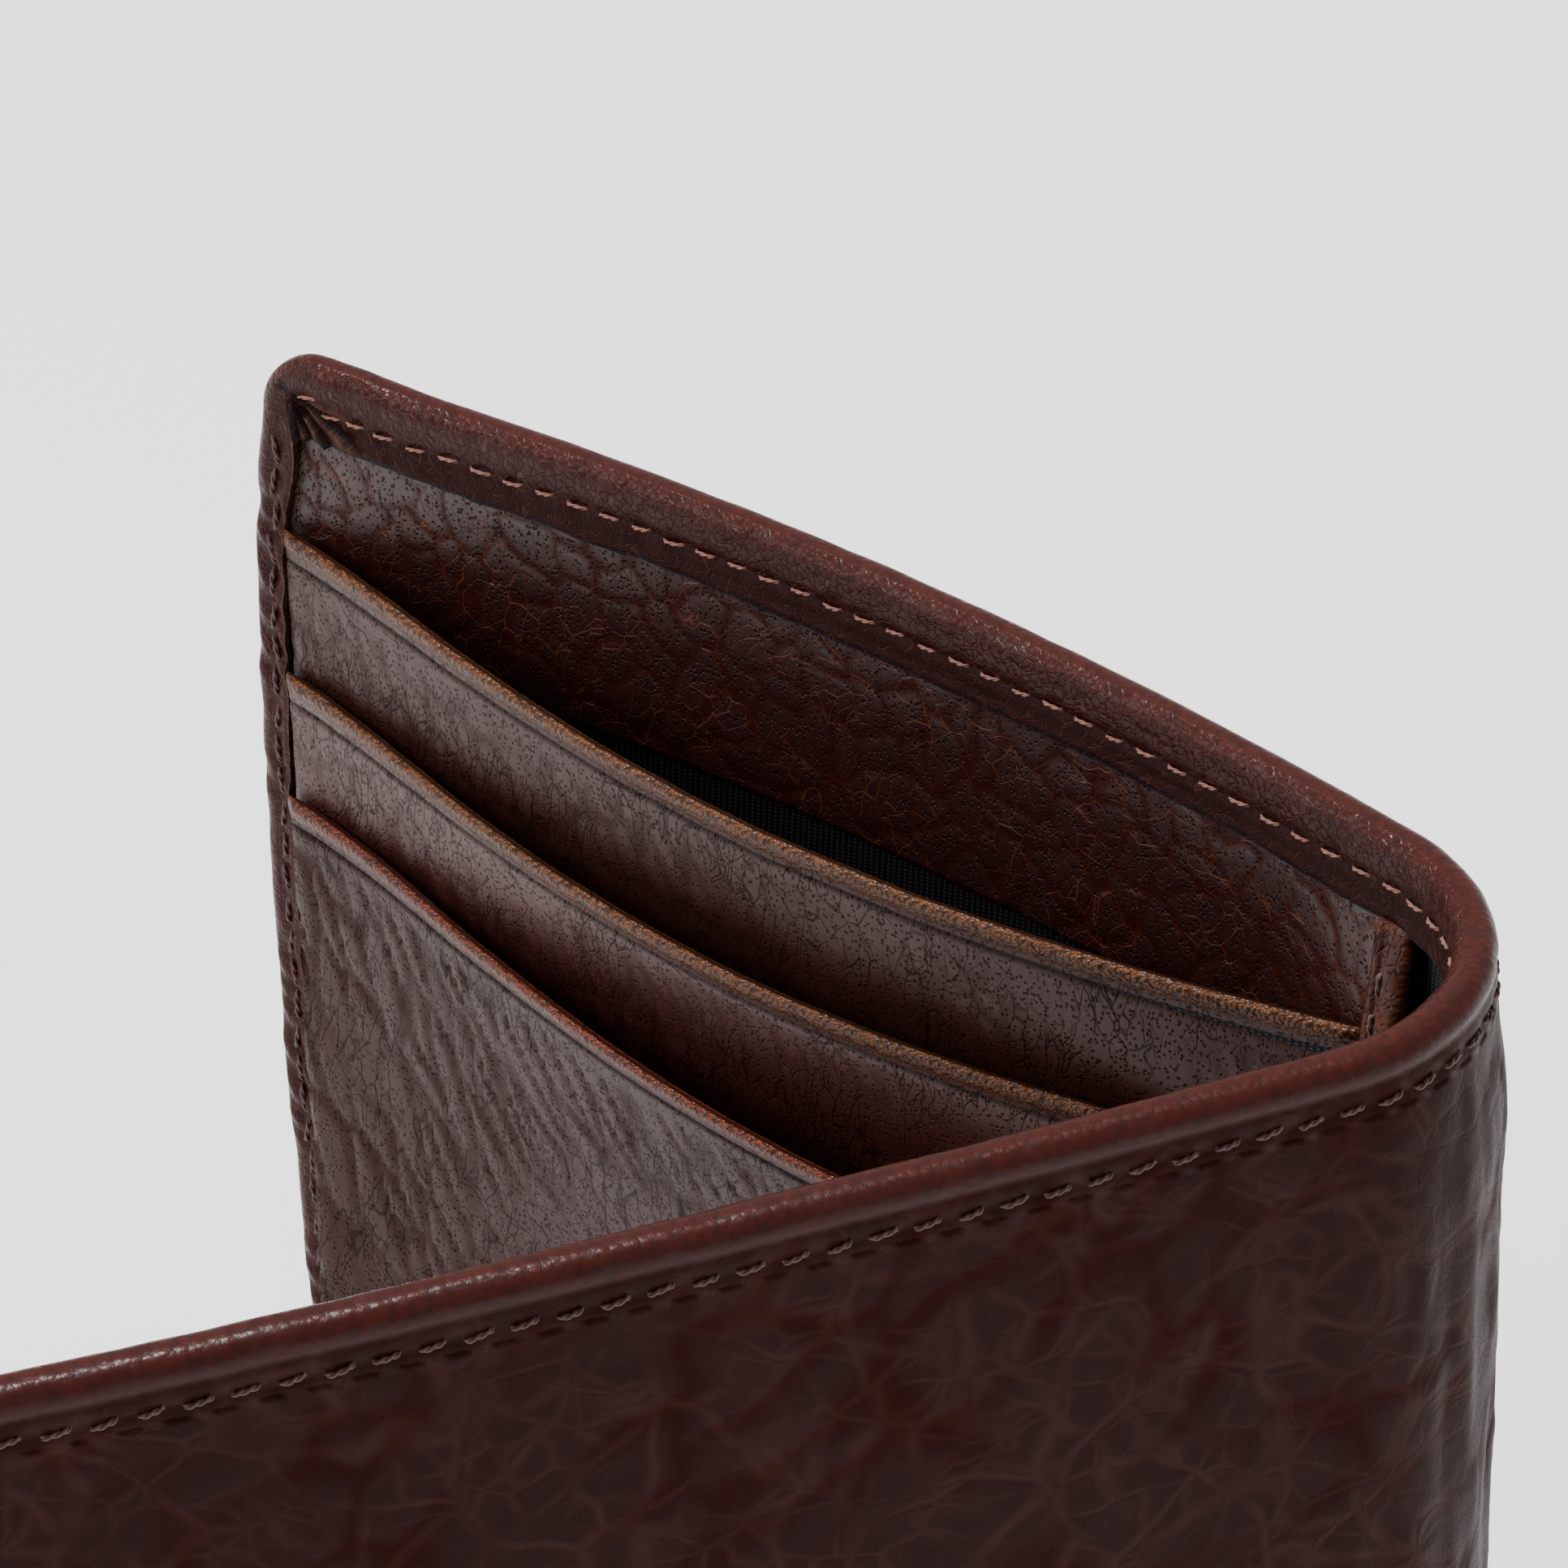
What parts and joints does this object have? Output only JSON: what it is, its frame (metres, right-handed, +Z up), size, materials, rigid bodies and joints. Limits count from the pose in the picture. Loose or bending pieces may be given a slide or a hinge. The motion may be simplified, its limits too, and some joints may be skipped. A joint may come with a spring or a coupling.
{
  "type": "bifold wallet",
  "caption": "Leather bifold wallet that folds about a soft rounded spine, with stepped card slots and a slip pocket behind them in each half.",
  "frame": {"origin": "under the middle of the half-open wallet, on the plane it stands on", "axes": "+Z up along the fold; +X towards the spine, with the halves opening towards -X; the rear half lies on the +Y side"},
  "size_m": [0.1016, 0.1354, 0.091],
  "materials": {
    "outer_leather": "worn full grain, semi-matt",
    "pocket_leather": "fine grain, semi-matt",
    "edge_leather": "fine grain, turned edge",
    "twill_lining": "fine twill",
    "interlining": "matt non-woven",
    "thread": "waxed thread"
  },
  "bodies": {
    "rear": {"rear_bottom_hem": "outer_leather", "rear_bottom_seam": "thread", "rear_card_slot_1": "pocket_leather", "rear_card_slot_2": "pocket_leather", "rear_card_slot_3": "pocket_leather", "rear_cover": "outer_leather", "rear_edge_seam": "thread", "rear_edge_strip": "edge_leather", "rear_facing": "pocket_leather", "rear_interlining": "interlining", "rear_lining": "twill_lining", "rear_pocket_backing": "twill_lining", "rear_side_hem": "outer_leather", "rear_side_seam": "thread", "rear_top_hem": "outer_leather", "rear_top_seam": "thread"},
    "spine": {"spine_bottom_hem": "outer_leather", "spine_bottom_seam": "thread", "spine_cover": "outer_leather", "spine_interlining": "interlining", "spine_lining": "twill_lining", "spine_top_hem": "outer_leather", "spine_top_seam": "thread"},
    "front": {"front_bottom_hem": "outer_leather", "front_bottom_seam": "thread", "front_card_slot_1": "pocket_leather", "front_card_slot_2": "pocket_leather", "front_card_slot_3": "pocket_leather", "front_cover": "outer_leather", "front_edge_seam": "thread", "front_edge_strip": "edge_leather", "front_facing": "pocket_leather", "front_interlining": "interlining", "front_lining": "twill_lining", "front_pocket_backing": "twill_lining", "front_side_hem": "outer_leather", "front_side_seam": "thread", "front_top_hem": "outer_leather", "front_top_seam": "thread"}
  },
  "joints": [
    {"name": "rear_fold", "type": "hinge", "parent": "rear", "child": "spine", "pos_m": [0.04802, 0.01291, 0], "axis": [0, 0, 1], "range_deg": [-30.5, 59.4]},
    {"name": "front_fold", "type": "hinge", "parent": "spine", "child": "front", "pos_m": [0.04802, -0.00172, 0], "axis": [0, 0, 1], "range_deg": [-30.5, 59.4]}
  ],
  "couplings": [
    {"joint": "front_fold", "follows": "rear_fold", "ratio": 1}
  ]
}
